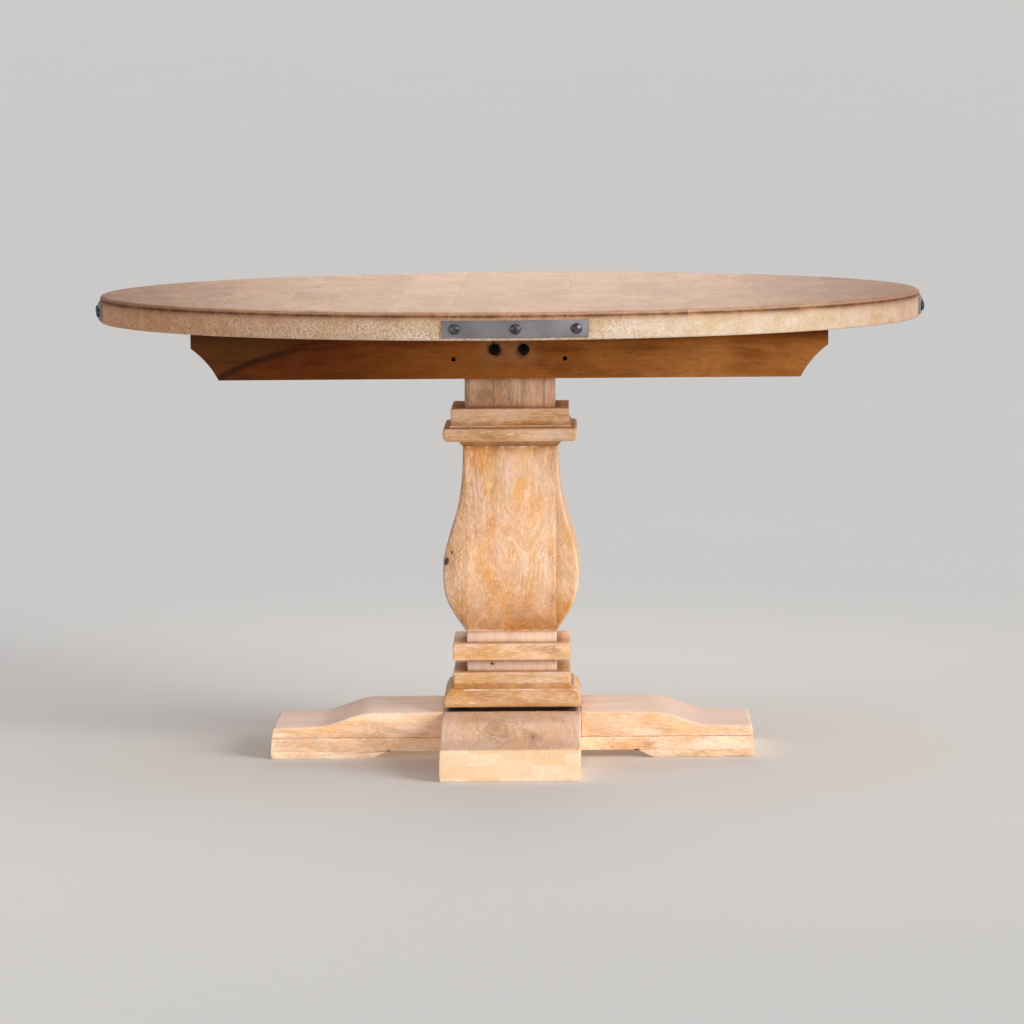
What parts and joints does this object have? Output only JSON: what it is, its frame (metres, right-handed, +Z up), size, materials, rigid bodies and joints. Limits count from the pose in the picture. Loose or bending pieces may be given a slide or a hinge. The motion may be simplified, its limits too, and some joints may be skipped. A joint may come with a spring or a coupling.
{
  "type": "round pedestal table",
  "caption": "Round dining table: glued plank top with steel edge plates, on bearers over a square baluster column and a cross-shaped foot.",
  "frame": {"origin": "on the floor, under the middle of the round top", "axes": "+Z up; -Y towards the front, where the bearers show their long side; +X to the right, along the bearers"},
  "size_m": [1.3876, 1.3876, 0.774],
  "materials": {
    "board_wood": "matte, limed",
    "bearer_wood": "matte, oiled",
    "column_wood": "matte, limed",
    "moulding_wood": "matte, limed",
    "foot_wood": "matte, limed",
    "plate_steel": "brushed, blue-grey",
    "stud_metal": "dark pewter, satin",
    "bolt_black": "black, satin",
    "zinc_steel": "zinc plated"
  },
  "bodies": {
    "root": {"top_board_01": "board_wood", "top_board_02": "board_wood", "top_board_03": "board_wood", "top_board_04": "board_wood", "top_board_05": "board_wood", "top_board_06": "board_wood", "top_board_07": "board_wood", "top_board_08": "board_wood", "top_board_09": "board_wood", "top_board_10": "board_wood", "top_board_11": "board_wood", "top_board_12": "board_wood", "top_board_13": "board_wood", "edge_plate_front": "plate_steel", "edge_plate_right": "plate_steel", "edge_plate_rear": "plate_steel", "edge_plate_left": "plate_steel", "edge_studs": "stud_metal", "bearer_front": "bearer_wood", "bearer_rear": "bearer_wood", "head_block_left": "bearer_wood", "head_block_right": "bearer_wood", "head_bolts": "bolt_black", "head_nuts": "bolt_black", "block_screws": "bolt_black", "top_screws": "zinc_steel", "column_core": "column_wood", "baluster_cheek_front": "column_wood", "baluster_cheek_right": "column_wood", "baluster_cheek_rear": "column_wood", "baluster_cheek_left": "column_wood", "cap_moulding_front": "moulding_wood", "cap_moulding_right": "moulding_wood", "cap_moulding_rear": "moulding_wood", "cap_moulding_left": "moulding_wood", "collar_moulding_front": "moulding_wood", "collar_moulding_right": "moulding_wood", "collar_moulding_rear": "moulding_wood", "collar_moulding_left": "moulding_wood", "plinth_band_front": "moulding_wood", "plinth_band_right": "moulding_wood", "plinth_band_rear": "moulding_wood", "plinth_band_left": "moulding_wood", "plinth_moulding_front": "moulding_wood", "plinth_moulding_right": "moulding_wood", "plinth_moulding_rear": "moulding_wood", "plinth_moulding_left": "moulding_wood", "cross_beam_lower": "foot_wood", "cross_beam_upper_left": "foot_wood", "cross_beam_upper_right": "foot_wood", "long_beam_upper": "foot_wood", "long_beam_lower_front": "foot_wood", "long_beam_lower_rear": "foot_wood", "foot_pad_front": "foot_wood", "foot_pad_right": "foot_wood", "foot_pad_rear": "foot_wood", "foot_pad_left": "foot_wood", "foot_rods": "zinc_steel", "foot_nuts": "zinc_steel"}
  },
  "joints": []
}
